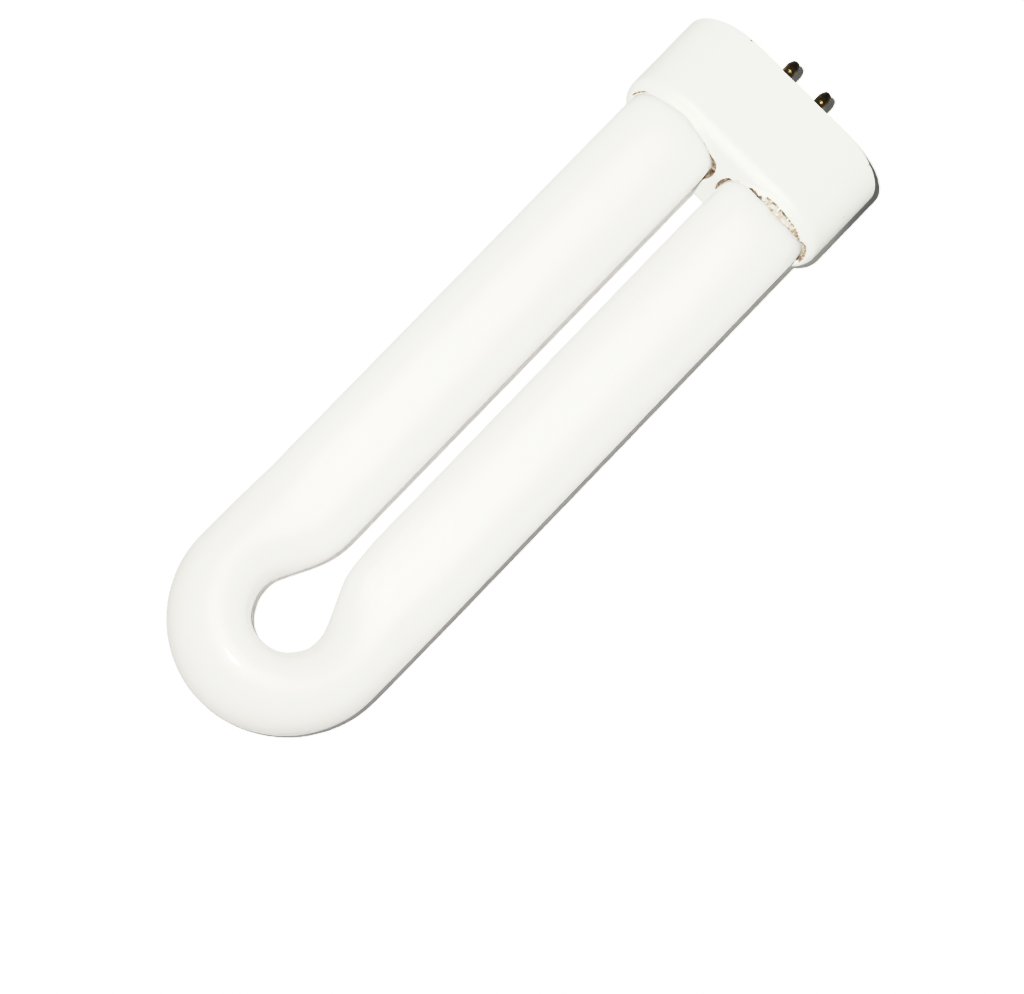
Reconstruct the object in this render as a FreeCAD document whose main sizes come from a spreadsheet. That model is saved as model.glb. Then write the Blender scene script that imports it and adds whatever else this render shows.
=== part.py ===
import FreeCAD, Part
import math
import os
import sys

import Sketcher

# U-bent fluorescent tube with a four-pin moulded end cap, lying flat.
# Millimetres. Y runs along the lamp and points the way the pins point,
# X runs across both legs, Z is up. The origin is the middle of the pin
# pattern on the cap's end face.

V = FreeCAD.Vector
os.makedirs("parts", exist_ok=True)

doc = FreeCAD.newDocument("lamp")
dims = doc.addObject("Spreadsheet::Sheet", "dims")

SIZES = [
    # glass
    ("tube_dia", 19.05),
    ("leg_pitch", 22.1),
    ("glass_shift", -0.2),
    ("bend_y", -141.0),
    ("shoulder_y", -12.5),
    ("shoulder_round", 4.0),
    ("tip_dia", 4.2),
    ("tip_end_y", -5.4),
    # end cap
    ("cap_length", 19.5),
    ("cap_radius", 11.45),
    ("cap_pitch", 22.1),
    ("socket_dia", 20.6),
    ("end_wall", 2.4),
    ("rim_round", 2.5),
    ("end_round", 0.35),
    ("mouth_round", 0.25),
    # contact pins
    ("pin_across", 7.92),
    ("pin_upward", 6.35),
    ("pin_dia", 2.35),
    ("pin_seat_dia", 2.6),
    ("pin_reach", 7.3),
    ("pin_taper", 1.25),
    ("pin_nose_dia", 1.45),
    ("nose_round", 0.45),
    ("pin_bore_dia", 1.0),
    ("pin_bore_end", 1.2),
    ("collar_dia", 3.6),
    ("collar_thick", 0.6),
    ("stake_y", 4.1),
    ("stake_ball", 0.95),
    ("stake_depth", 0.3),
    # lead wires
    ("wire_dia", 0.5),
    ("wire_bend", 1.2),
    ("wire_cross_y", -6.6),
    # capping cement
    ("cement_recess", 0.6),
    ("cement_depth", 8.0),
]

# The glass was softened and bent by hand, so its section changes along the way
# and the two sides differ. Necks: distance from the bend's centre line, then the
# inner and outer edge, measured across from the middle between the legs.
NECK_LEFT = [
    (1.0, 6.724, 20.912), (2.4, 6.762, 20.918), (4.0, 6.579, 20.91), (5.6, 6.095, 20.891),
    (7.2, 5.412, 20.866), (8.8, 4.663, 20.837), (10.4, 3.905, 20.805), (12.0, 3.179, 20.771),
    (13.6, 2.559, 20.732), (15.2, 2.083, 20.69), (17.0, 1.713, 20.635), (19.0, 1.52, 20.565),
    (21.0, 1.475, 20.52), (23.0, 1.51, 20.555),
]
NECK_RIGHT = [
    (1.0, 6.463, 20.419), (2.4, 6.526, 20.456), (4.0, 6.38, 20.477), (5.6, 5.99, 20.488),
    (7.2, 5.444, 20.496), (8.8, 4.797, 20.504), (10.4, 4.125, 20.513), (12.0, 3.471, 20.522),
    (13.6, 2.829, 20.531), (15.2, 2.307, 20.54), (17.0, 1.99, 20.55), (19.0, 1.843, 20.559),
    (21.0, 1.709, 20.567), (23.0, 1.555, 20.574),
]
# Bend: angle round its centre, then the inner and outer radius there.
BEND = [
    (180.0, 6.657, 20.899), (191.25, 6.481, 20.841), (202.5, 6.391, 20.796), (213.75, 6.448, 20.802),
    (225.0, 6.606, 20.844), (236.25, 6.775, 20.89), (247.5, 6.858, 20.921), (258.75, 6.805, 20.912),
    (270.0, 6.686, 20.826), (281.25, 6.576, 20.653), (292.5, 6.439, 20.448), (303.75, 6.238, 20.272),
    (315.0, 6.05, 20.143), (326.25, 5.969, 20.069), (337.5, 6.015, 20.09), (348.75, 6.17, 20.221),
    (360.0, 6.382, 20.378),
]
# Round sections where the straight legs take over.
LEG_START = (25.0, 26.5, 28.0)

row = 1
SIZE = {}


def cell(alias, value):
    global row
    dims.set("A%d" % row, alias)
    dims.set("B%d" % row, repr(value))
    dims.setAlias("B%d" % row, alias)
    row += 1


for alias, value in SIZES:
    cell(alias, value)
    SIZE[alias] = value
for side, table in (("left", NECK_LEFT), ("right", NECK_RIGHT)):
    for i, (along, inner, outer) in enumerate(table):
        cell("neck_%s_along_%02d" % (side, i), along)
        cell("neck_%s_inner_%02d" % (side, i), inner)
        cell("neck_%s_outer_%02d" % (side, i), outer)
for i, (turn, inner, outer) in enumerate(BEND):
    cell("bend_turn_%02d" % i, turn)
    cell("bend_inner_%02d" % i, inner)
    cell("bend_outer_%02d" % i, outer)
for i, along in enumerate(LEG_START):
    cell("leg_start_%02d" % i, along)
doc.recompute()

tube_r = SIZE["tube_dia"] / 2
right_x = SIZE["leg_pitch"] / 2 + SIZE["glass_shift"]
left_x = SIZE["glass_shift"] - SIZE["leg_pitch"] / 2
glass_end = SIZE["shoulder_y"] + SIZE["shoulder_round"]
NODES = {}

TUBE_RADIUS = "dims.tube_dia / 2"
LEG_X = {1: "(dims.glass_shift + dims.leg_pitch / 2)", -1: "(dims.glass_shift - dims.leg_pitch / 2)"}
GLASS_END = "(dims.shoulder_y + dims.shoulder_round)"


def named(sketch, constraint, name, expression):
    index = sketch.addConstraint(constraint)
    sketch.renameConstraint(index, name)
    sketch.setExpression("Constraints." + name, expression)


def join(sketch, pairs, tangent=()):
    for a, pa, b, pb in pairs:
        kind = "Tangent" if (a, b) in tangent else "Coincident"
        sketch.addConstraint(Sketcher.Constraint(kind, a, pa, b, pb))


def plane(body, role):
    for feature in body.Origin.OriginFeatures:
        if getattr(feature, "Role", "") == role or feature.Name.startswith(role):
            return feature
    raise RuntimeError("no " + role)


def sketch_on(body, role, label):
    sk = body.newObject("Sketcher::SketchObject", label)
    sk.AttachmentSupport = (plane(body, role), [""])
    sk.MapMode = "FlatFace"
    return sk


def place(obj, **exprs):
    for axis, expression in exprs.items():
        obj.setExpression(".Placement.Base." + axis, expression)


# ---------------------------------------------------------------- glass tube
# Local X of a section points up, local Y across, so its normal runs along Y.
ACROSS = FreeCAD.Rotation(V(1, 1, 1), 240)

# Straight leg with its closed, rounded end and the sealed exhaust tip.
leg = doc.addObject("Sketcher::SketchObject", "leg_profile")
y0 = SIZE["bend_y"] + LEG_START[-1]
tip_r = SIZE["tip_dia"] / 2
rnd = SIZE["shoulder_round"]
sh = SIZE["shoulder_y"]
te = SIZE["tip_end_y"]
leg.addGeometry([
    Part.LineSegment(V(0, y0, 0), V(tube_r, y0, 0)),
    Part.LineSegment(V(tube_r, y0, 0), V(tube_r, sh, 0)),
    Part.ArcOfCircle(Part.Circle(V(tube_r - rnd, sh, 0), V(0, 0, 1), rnd), 0, math.pi / 2),
    Part.LineSegment(V(tube_r - rnd, glass_end, 0), V(tip_r, glass_end, 0)),
    Part.LineSegment(V(tip_r, glass_end, 0), V(tip_r, te - tip_r, 0)),
    Part.ArcOfCircle(Part.Circle(V(0, te - tip_r, 0), V(0, 0, 1), tip_r), 0, math.pi / 2),
    Part.LineSegment(V(0, te, 0), V(0, y0, 0)),
])
join(leg, [(0, 2, 1, 1), (1, 2, 2, 1), (2, 2, 3, 1), (3, 2, 4, 1), (4, 2, 5, 1),
           (5, 2, 6, 1), (6, 2, 0, 1)], tangent={(1, 2), (2, 3), (4, 5)})
for index in (0, 3):
    leg.addConstraint(Sketcher.Constraint("Horizontal", index))
for index in (1, 4, 6):
    leg.addConstraint(Sketcher.Constraint("Vertical", index))
leg.addConstraint(Sketcher.Constraint("PointOnObject", 0, 1, -2))
leg.addConstraint(Sketcher.Constraint("PointOnObject", 5, 3, -2))
named(leg, Sketcher.Constraint("DistanceX", -1, 1, 1, 1, tube_r), "wall_radius", TUBE_RADIUS)
named(leg, Sketcher.Constraint("DistanceY", 0, 1, -1, 1, -y0), "start",
      "-(dims.bend_y + dims.leg_start_02)")
named(leg, Sketcher.Constraint("DistanceY", 2, 3, -1, 1, -sh), "shoulder", "-dims.shoulder_y")
named(leg, Sketcher.Constraint("Radius", 2, rnd), "rounding", "dims.shoulder_round")
named(leg, Sketcher.Constraint("Radius", 5, tip_r), "tip_radius", "dims.tip_dia / 2")
named(leg, Sketcher.Constraint("DistanceY", 5, 3, -1, 1, -(te - tip_r)), "tip_centre",
      "dims.tip_dia / 2 - dims.tip_end_y")
place(leg, x=LEG_X[1])

leg_right = doc.addObject("Part::Revolution", "leg_right")
leg_right.Source = leg
leg_right.Axis = V(0, 1, 0)
leg_right.Angle = 360
leg_right.Solid = True
leg_right.setExpression(".Base.x", LEG_X[1])

# Necks and bend in one run of sections, from the left leg round to the right.
def section(name, turn, minor, minor_expr, **where):
    el = doc.addObject("Part::Ellipse", name)
    el.MajorRadius = tube_r
    el.MinorRadius = minor
    el.setExpression("MajorRadius", TUBE_RADIUS)
    el.setExpression("MinorRadius", minor_expr)
    el.Placement = FreeCAD.Placement(V(0, 0, 0), FreeCAD.Rotation(V(0, 0, 1), turn).multiply(ACROSS))
    place(el, **where)
    return el


def neck_sections(side, sx, table, turn):
    got = []
    for i, (along, inner, outer) in enumerate(table):
        near, far = "dims.neck_%s_inner_%02d" % (side, i), "dims.neck_%s_outer_%02d" % (side, i)
        got.append(section("neck_%s_%02d" % (side, i), turn, (outer - inner) / 2, "(%s - %s) / 2" % (far, near),
                           x="dims.glass_shift + %d * (%s + %s) / 2" % (sx, far, near),
                           y="dims.bend_y + dims.neck_%s_along_%02d" % (side, i)))
    for i, along in enumerate(LEG_START):
        ci = doc.addObject("Part::Circle", "leg_%s_%02d" % (side, i))
        ci.Radius = tube_r
        ci.setExpression("Radius", TUBE_RADIUS)
        ci.Placement = FreeCAD.Placement(V(0, 0, 0), FreeCAD.Rotation(V(0, 0, 1), turn).multiply(ACROSS))
        place(ci, x=LEG_X[sx], y="dims.bend_y + dims.leg_start_%02d" % i)
        got.append(ci)
    return got


sections = neck_sections("left", -1, NECK_LEFT, 180)[::-1]
for i, (turn, inner, outer) in enumerate(BEND):
    near, far = "dims.bend_inner_%02d" % i, "dims.bend_outer_%02d" % i
    angle = "dims.bend_turn_%02d * 1deg" % i
    el = section("bend_%02d" % i, turn, (outer - inner) / 2, "(%s - %s) / 2" % (far, near),
                 x="dims.glass_shift + cos(%s) * (%s + %s) / 2" % (angle, far, near),
                 y="dims.bend_y + sin(%s) * (%s + %s) / 2" % (angle, far, near))
    sections.append(el)
sections += neck_sections("right", 1, NECK_RIGHT, 360)
bend = doc.addObject("Part::Loft", "bend_and_necks")
bend.Sections = sections
bend.Solid = True
bend.Ruled = False

leg_left = doc.addObject("Part::Mirroring", "leg_left")
leg_left.Source = leg_right
leg_left.Normal = V(1, 0, 0)
leg_left.setExpression(".Base.x", "dims.glass_shift")
glass = doc.addObject("Part::MultiFuse", "glass_tube")
glass.Label = "glass_tube"
glass.Shapes = [leg_right, bend, leg_left]
glass.Refine = True
NODES["glass_tube"] = glass

# ------------------------------------------------------------------ end cap
cap = doc.addObject("PartDesign::Body", "base_cap")
cap.Label = "base_cap"
half = SIZE["cap_pitch"] / 2
radius = SIZE["cap_radius"]
outline = sketch_on(cap, "XZ_Plane", "cap_outline")
outline.addGeometry([
    Part.ArcOfCircle(Part.Circle(V(half, 0, 0), V(0, 0, 1), radius), -math.pi / 2, math.pi / 2),
    Part.LineSegment(V(half, radius, 0), V(-half, radius, 0)),
    Part.ArcOfCircle(Part.Circle(V(-half, 0, 0), V(0, 0, 1), radius), math.pi / 2, 3 * math.pi / 2),
    Part.LineSegment(V(-half, -radius, 0), V(half, -radius, 0)),
])
join(outline, [(0, 2, 1, 1), (1, 2, 2, 1), (2, 2, 3, 1), (3, 2, 0, 1)],
     tangent={(0, 1), (1, 2), (2, 3), (3, 0)})
outline.addConstraint(Sketcher.Constraint("PointOnObject", 0, 3, -1))
outline.addConstraint(Sketcher.Constraint("Symmetric", 0, 3, 2, 3, -1, 1))
named(outline, Sketcher.Constraint("Radius", 0, radius), "end_radius", "dims.cap_radius")
named(outline, Sketcher.Constraint("DistanceX", 2, 3, 0, 3, 2 * half), "pitch", "dims.cap_pitch")
cap_block = cap.newObject("PartDesign::Pad", "cap_block")
cap_block.Profile = outline
cap_block.Length = SIZE["cap_length"]
cap_block.setExpression("Length", "dims.cap_length")
doc.recompute()


def edges_at(shape, y, keep):
    out = []
    for i, edge in enumerate(shape.Edges):
        box = edge.BoundBox
        if abs(box.YMin - y) < 1e-6 and abs(box.YMax - y) < 1e-6 and keep(edge):
            out.append("Edge%d" % (i + 1))
    return out


rim = cap.newObject("PartDesign::Fillet", "cap_rim_rounding")
rim.Base = (cap_block, edges_at(cap_block.Shape, -SIZE["cap_length"], lambda e: True))
rim.Radius = SIZE["rim_round"]
rim.setExpression("Radius", "dims.rim_round")
doc.recompute()
end = cap.newObject("PartDesign::Fillet", "cap_end_rounding")
end.Base = (rim, edges_at(rim.Shape, 0.0, lambda e: True))
end.Radius = SIZE["end_round"]
end.setExpression("Radius", "dims.end_round")
doc.recompute()

mouths = sketch_on(cap, "XZ_Plane", "socket_mouths")
mouths.AttachmentOffset = FreeCAD.Placement(V(0, 0, SIZE["cap_length"]), FreeCAD.Rotation())
mouths.setExpression(".AttachmentOffset.Base.z", "dims.cap_length")
sr = SIZE["socket_dia"] / 2
mouths.addGeometry([Part.Circle(V(half, 0, 0), V(0, 0, 1), sr),
                    Part.Circle(V(-half, 0, 0), V(0, 0, 1), sr)])
mouths.addConstraint(Sketcher.Constraint("PointOnObject", 0, 3, -1))
mouths.addConstraint(Sketcher.Constraint("Symmetric", 0, 3, 1, 3, -1, 1))
mouths.addConstraint(Sketcher.Constraint("Equal", 0, 1))
named(mouths, Sketcher.Constraint("DistanceX", 1, 3, 0, 3, 2 * half), "pitch", "dims.cap_pitch")
named(mouths, Sketcher.Constraint("Radius", 0, sr), "socket_radius", "dims.socket_dia / 2")
sockets = cap.newObject("PartDesign::Pocket", "sockets")
sockets.Profile = mouths
sockets.Length = SIZE["cap_length"] - SIZE["end_wall"]
sockets.setExpression("Length", "dims.cap_length - dims.end_wall")
doc.recompute()

holes = sketch_on(cap, "XZ_Plane", "pin_hole_centres")
px, pz, pr = SIZE["pin_across"] / 2, SIZE["pin_upward"] / 2, SIZE["pin_dia"] / 2
seat_r = SIZE["pin_seat_dia"] / 2
corners = [(px, pz), (-px, pz), (-px, -pz), (px, -pz)]
holes.addGeometry([Part.Circle(V(x, z, 0), V(0, 0, 1), seat_r) for x, z in corners])
holes.addConstraint(Sketcher.Constraint("Symmetric", 0, 3, 2, 3, -1, 1))
holes.addConstraint(Sketcher.Constraint("Symmetric", 1, 3, 3, 3, -1, 1))
holes.addConstraint(Sketcher.Constraint("Symmetric", 0, 3, 1, 3, -2))
for index in (1, 2, 3):
    holes.addConstraint(Sketcher.Constraint("Equal", 0, index))
named(holes, Sketcher.Constraint("DistanceX", 1, 3, 0, 3, 2 * px), "across", "dims.pin_across")
named(holes, Sketcher.Constraint("DistanceY", 3, 3, 0, 3, 2 * pz), "upward", "dims.pin_upward")
named(holes, Sketcher.Constraint("Radius", 0, seat_r), "hole_radius", "dims.pin_seat_dia / 2")
pin_holes = cap.newObject("PartDesign::Pocket", "pin_holes")
pin_holes.Profile = holes
pin_holes.Reversed = True
pin_holes.Length = SIZE["end_wall"] + 0.5
pin_holes.setExpression("Length", "dims.end_wall + 0.5")
doc.recompute()


def mouth_edges(shape):
    out = []
    for i, edge in enumerate(shape.Edges):
        pts = edge.discretize(5)
        on_wall = all(abs(math.hypot(abs(q.x) - half, q.z) - sr) < 1e-4 for q in pts)
        if on_wall and max(q.y for q in pts) < -SIZE["end_wall"] - 1 and edge.BoundBox.YLength < 1:
            out.append("Edge%d" % (i + 1))
    return out


mouth = cap.newObject("PartDesign::Fillet", "mouth_rounding")
mouth.Base = (pin_holes, mouth_edges(pin_holes.Shape))
mouth.Radius = SIZE["mouth_round"]
mouth.setExpression("Radius", "dims.mouth_round")
doc.recompute()
NODES["base_cap"] = cap

# ------------------------------------------------------------- contact pins
# Pin with a blind bore at its inner end: collar against the inside of the end
# wall, thicker seat through the wall and flush with its face, straight shank,
# tapered nose filled solid, and a staked dimple facing away from its twin.
WHERE = [("left", -1, "upper", 1), ("left", -1, "lower", -1),
         ("right", 1, "upper", 1), ("right", 1, "lower", -1)]
for side, sx, level, sz in WHERE:
    name = "contact_pin_%s_%s" % (side, level)
    pin = doc.addObject("PartDesign::Body", name)
    pin.Label = name
    prof = sketch_on(pin, "XY_Plane", name + "_profile")
    br, cr = SIZE["pin_bore_dia"] / 2, SIZE["collar_dia"] / 2
    nr, be = SIZE["pin_nose_dia"] / 2, SIZE["pin_bore_end"]
    wall, inner = -SIZE["end_wall"], -SIZE["end_wall"] - SIZE["collar_thick"]
    reach, shank = SIZE["pin_reach"], SIZE["pin_reach"] - SIZE["pin_taper"]
    pts = [(br, inner), (cr, inner), (cr, wall), (seat_r, wall), (seat_r, 0), (pr, 0), (pr, shank),
           (nr, reach), (0, reach), (0, be), (br, be)]
    prof.addGeometry([Part.LineSegment(V(*pts[i], 0), V(*pts[(i + 1) % 11], 0)) for i in range(11)])
    join(prof, [(i, 2, (i + 1) % 11, 1) for i in range(11)])
    for index in (0, 2, 4, 7, 9):
        prof.addConstraint(Sketcher.Constraint("Horizontal", index))
    for index in (1, 3, 5, 8, 10):
        prof.addConstraint(Sketcher.Constraint("Vertical", index))
    prof.addConstraint(Sketcher.Constraint("PointOnObject", 8, 1, -2))
    prof.addConstraint(Sketcher.Constraint("PointOnObject", 4, 1, -1))
    named(prof, Sketcher.Constraint("DistanceX", -1, 1, 0, 1, br), "bore_radius", "dims.pin_bore_dia / 2")
    named(prof, Sketcher.Constraint("DistanceX", -1, 1, 1, 1, cr), "collar_radius", "dims.collar_dia / 2")
    named(prof, Sketcher.Constraint("DistanceX", -1, 1, 3, 1, seat_r), "seat_radius", "dims.pin_seat_dia / 2")
    named(prof, Sketcher.Constraint("DistanceX", -1, 1, 5, 1, pr), "shank_radius", "dims.pin_dia / 2")
    named(prof, Sketcher.Constraint("DistanceX", -1, 1, 7, 1, nr), "nose_radius", "dims.pin_nose_dia / 2")
    named(prof, Sketcher.Constraint("DistanceY", 0, 1, -1, 1, -inner), "collar_inside",
          "dims.end_wall + dims.collar_thick")
    named(prof, Sketcher.Constraint("DistanceY", 2, 1, -1, 1, -wall), "collar_face", "dims.end_wall")
    named(prof, Sketcher.Constraint("DistanceY", -1, 1, 5, 2, shank), "shank_end",
          "dims.pin_reach - dims.pin_taper")
    named(prof, Sketcher.Constraint("DistanceY", -1, 1, 7, 1, reach), "reach", "dims.pin_reach")
    named(prof, Sketcher.Constraint("DistanceY", -1, 1, 10, 1, be), "bore_end", "dims.pin_bore_end")
    turn = pin.newObject("PartDesign::Revolution", name + "_turned")
    turn.Profile = prof
    turn.ReferenceAxis = (prof, ["V_Axis"])
    turn.Angle = 360
    doc.recompute()
    nose_edges = [e for e in edges_at(turn.Shape, reach, lambda e: True)]
    nose_edges += [e for e in edges_at(turn.Shape, shank, lambda e: True)]
    nose = pin.newObject("PartDesign::Fillet", name + "_nose")
    nose.Base = (turn, nose_edges)
    nose.Radius = SIZE["nose_round"]
    nose.setExpression("Radius", "dims.nose_round")
    doc.recompute()
    ball = pin.newObject("PartDesign::SubtractiveSphere", name + "_stake")
    ball.Radius = SIZE["stake_ball"]
    ball.setExpression("Radius", "dims.stake_ball")
    place(ball, y="dims.stake_y",
          z="%d * (dims.pin_dia / 2 + dims.stake_ball - dims.stake_depth)" % sz)
    place(pin, x="%d * dims.pin_across / 2" % sx, z="%d * dims.pin_upward / 2" % sz)
    doc.recompute()
    NODES[name] = pin

# --------------------------------------------------------------- lead wires
# From the closed end of a leg, across, and up the bore of its pin.
for side, sx, level, sz in WHERE:
    name = "lead_wire_%s_%s" % (side, level)
    wire = doc.addObject("PartDesign::Body", name)
    wire.Label = name
    xs = right_x if sx > 0 else left_x
    xp, r = sx * px, SIZE["wire_bend"]
    yc, ye = SIZE["wire_cross_y"], SIZE["pin_bore_end"]
    path = sketch_on(wire, "XY_Plane", name + "_path")
    toward = -sx
    if sx > 0:
        first = Part.ArcOfCircle(Part.Circle(V(xs - r, yc - r, 0), V(0, 0, 1), r), 0, math.pi / 2)
        second = Part.ArcOfCircle(Part.Circle(V(xp + r, yc + r, 0), V(0, 0, 1), r), math.pi, 1.5 * math.pi)
        ends = ((1, 2), (2, 1))
    else:
        first = Part.ArcOfCircle(Part.Circle(V(xs + r, yc - r, 0), V(0, 0, 1), r), math.pi / 2, math.pi)
        second = Part.ArcOfCircle(Part.Circle(V(xp - r, yc + r, 0), V(0, 0, 1), r), 1.5 * math.pi, 2 * math.pi)
        ends = ((2, 1), (1, 2))
    path.addGeometry([
        Part.LineSegment(V(xs, glass_end, 0), V(xs, yc - r, 0)),
        first,
        Part.LineSegment(V(xs + toward * r, yc, 0), V(xp - toward * r, yc, 0)),
        second,
        Part.LineSegment(V(xp, yc + r, 0), V(xp, ye, 0)),
    ])
    (a_in, a_out), (b_in, b_out) = ends
    join(path, [(0, 2, 1, a_in), (1, a_out, 2, 1), (2, 2, 3, b_in), (3, b_out, 4, 1)],
         tangent={(0, 1), (1, 2), (2, 3), (3, 4)})
    path.addConstraint(Sketcher.Constraint("Vertical", 0))
    path.addConstraint(Sketcher.Constraint("Equal", 1, 3))
    named(path, Sketcher.Constraint("Radius", 1, r), "bend_radius", "dims.wire_bend")
    if sx > 0:
        named(path, Sketcher.Constraint("DistanceX", -1, 1, 0, 1, xs), "leg_x", LEG_X[1])
        named(path, Sketcher.Constraint("DistanceX", -1, 1, 4, 2, xp), "pin_x", "dims.pin_across / 2")
    else:
        named(path, Sketcher.Constraint("DistanceX", 0, 1, -1, 1, -xs), "leg_x", "-" + LEG_X[-1])
        named(path, Sketcher.Constraint("DistanceX", 4, 2, -1, 1, -xp), "pin_x", "dims.pin_across / 2")
    named(path, Sketcher.Constraint("DistanceY", 0, 1, -1, 1, -glass_end), "start", "-" + GLASS_END)
    named(path, Sketcher.Constraint("DistanceY", 2, 1, -1, 1, -yc), "crossing", "-dims.wire_cross_y")
    path.addConstraint(Sketcher.Constraint("Horizontal", 2))
    named(path, Sketcher.Constraint("DistanceY", -1, 1, 4, 2, ye), "finish", "dims.pin_bore_end")
    sec = sketch_on(wire, "XZ_Plane", name + "_section")
    sec.AttachmentOffset = FreeCAD.Placement(V(xs, 0, -glass_end), FreeCAD.Rotation())
    sec.setExpression(".AttachmentOffset.Base.x", LEG_X[sx])
    sec.setExpression(".AttachmentOffset.Base.z", "-" + GLASS_END)
    sec.addGeometry(Part.Circle(V(0, 0, 0), V(0, 0, 1), SIZE["wire_dia"] / 2))
    sec.addConstraint(Sketcher.Constraint("Coincident", 0, 3, -1, 1))
    named(sec, Sketcher.Constraint("Radius", 0, SIZE["wire_dia"] / 2), "wire_radius", "dims.wire_dia / 2")
    doc.recompute()
    pipe = wire.newObject("PartDesign::AdditivePipe", name + "_drawn")
    pipe.Profile = sec
    pipe.Spine = (path, ["Edge%d" % (i + 1) for i in range(5)])
    place(wire, z="%d * dims.pin_upward / 2" % sz)
    doc.recompute()
    NODES[name] = wire

# ----------------------------------------------------------- capping cement
# Sleeve filling the gap between a leg and its socket, just below the mouth.
for side, sx in (("left", -1), ("right", 1)):
    name = "cement_ring_" + side
    outer = doc.addObject("Part::Cylinder", name + "_outside")
    outer.Radius = sr
    outer.Height = SIZE["cement_depth"]
    outer.setExpression("Radius", "dims.socket_dia / 2")
    outer.setExpression("Height", "dims.cement_depth")
    outer.Placement = FreeCAD.Placement(V(0, 0, 0), FreeCAD.Rotation(V(1, 0, 0), -90))
    place(outer, x="%d * dims.cap_pitch / 2" % sx, y="dims.cement_recess - dims.cap_length")
    inner = doc.addObject("Part::Cylinder", name + "_inside")
    inner.Radius = tube_r
    inner.Height = SIZE["cement_depth"] + 2
    inner.setExpression("Radius", TUBE_RADIUS)
    inner.setExpression("Height", "dims.cement_depth + 2")
    inner.Placement = FreeCAD.Placement(V(0, 0, 0), FreeCAD.Rotation(V(1, 0, 0), -90))
    place(inner, x=LEG_X[sx], y="dims.cement_recess - dims.cap_length - 1")
    ring = doc.addObject("Part::Cut", name)
    ring.Label = name
    ring.Base = outer
    ring.Tool = inner
    NODES[name] = ring

doc.recompute()

# ---------------------------------------------------------- check and write
for obj in doc.Objects:
    if "Invalid" in obj.State or "Error" in obj.State:
        sys.exit("broken feature: %s %s" % (obj.Name, obj.State))
for name, obj in NODES.items():
    shape = obj.Shape
    if shape.isNull() or not shape.isValid() or len(shape.Solids) != 1:
        sys.exit("bad shape: %s (%d solids)" % (name, len(shape.Solids)))
for deeper, before in ((sockets, end), (pin_holes, sockets)):
    if deeper.Shape.Volume > before.Shape.Volume - 1.0:
        sys.exit("nothing cut by " + deeper.Name)
for name, obj in NODES.items():
    obj.Shape.exportStep("parts/" + obj.Label + ".step")
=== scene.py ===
import math

import bmesh
import bpy
import numpy as np
from mathutils import Matrix, Vector


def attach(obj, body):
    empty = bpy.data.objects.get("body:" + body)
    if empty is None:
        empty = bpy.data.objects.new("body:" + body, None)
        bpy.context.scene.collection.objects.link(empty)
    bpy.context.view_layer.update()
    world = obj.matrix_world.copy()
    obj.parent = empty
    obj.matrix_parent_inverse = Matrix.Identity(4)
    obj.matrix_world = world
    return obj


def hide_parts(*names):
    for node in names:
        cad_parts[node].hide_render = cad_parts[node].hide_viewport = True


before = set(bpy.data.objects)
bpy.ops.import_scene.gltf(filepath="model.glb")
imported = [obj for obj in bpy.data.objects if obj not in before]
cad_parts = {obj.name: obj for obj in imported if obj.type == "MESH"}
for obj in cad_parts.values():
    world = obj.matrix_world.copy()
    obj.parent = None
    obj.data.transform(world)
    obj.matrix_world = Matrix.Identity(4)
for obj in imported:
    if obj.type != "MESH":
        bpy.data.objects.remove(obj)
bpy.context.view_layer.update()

scene = bpy.context.scene
MM = 0.001

# ------------------------------------------------------------------ sizes (mm)
TUBE_R = 9.525
LEG_HALF = 11.05
SHIFT = -0.2
BEND_Y = -141.0
SHOULDER_Y, SHOULDER_R = -12.5, 4.0
TIP_R, TIP_END = 2.1, -5.4
CAP_LEN, CAP_R, CAP_HALF = 19.5, 11.45, 11.05
RIM_R, END_R = 2.5, 0.35
SOCKET_R, END_WALL = 10.3, 2.4
PIN_R, PIN_SEAT_R, PIN_REACH = 1.175, 1.3, 7.3
PIN_X, PIN_Z = 3.96, 3.175
CEMENT_DEEP = -10.9
# The bent glass, as distance (or angle), inner edge, outer edge.
NECK_LEFT = [
    (1.0, 6.724, 20.912), (2.4, 6.762, 20.918), (4.0, 6.579, 20.91), (5.6, 6.095, 20.891),
    (7.2, 5.412, 20.866), (8.8, 4.663, 20.837), (10.4, 3.905, 20.805), (12.0, 3.179, 20.771),
    (13.6, 2.559, 20.732), (15.2, 2.083, 20.69), (17.0, 1.713, 20.635), (19.0, 1.52, 20.565),
    (21.0, 1.475, 20.52), (23.0, 1.51, 20.555),
]
NECK_RIGHT = [
    (1.0, 6.463, 20.419), (2.4, 6.526, 20.456), (4.0, 6.38, 20.477), (5.6, 5.99, 20.488),
    (7.2, 5.444, 20.496), (8.8, 4.797, 20.504), (10.4, 4.125, 20.513), (12.0, 3.471, 20.522),
    (13.6, 2.829, 20.531), (15.2, 2.307, 20.54), (17.0, 1.99, 20.55), (19.0, 1.843, 20.559),
    (21.0, 1.709, 20.567), (23.0, 1.555, 20.574),
]
BEND = [
    (180.0, 6.657, 20.899), (191.25, 6.481, 20.841), (202.5, 6.391, 20.796), (213.75, 6.448, 20.802),
    (225.0, 6.606, 20.844), (236.25, 6.775, 20.89), (247.5, 6.858, 20.921), (258.75, 6.805, 20.912),
    (270.0, 6.686, 20.826), (281.25, 6.576, 20.653), (292.5, 6.439, 20.448), (303.75, 6.238, 20.272),
    (315.0, 6.05, 20.143), (326.25, 5.969, 20.069), (337.5, 6.015, 20.09), (348.75, 6.17, 20.221),
    (360.0, 6.382, 20.378),
]
MEAN_R = 13.7


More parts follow.
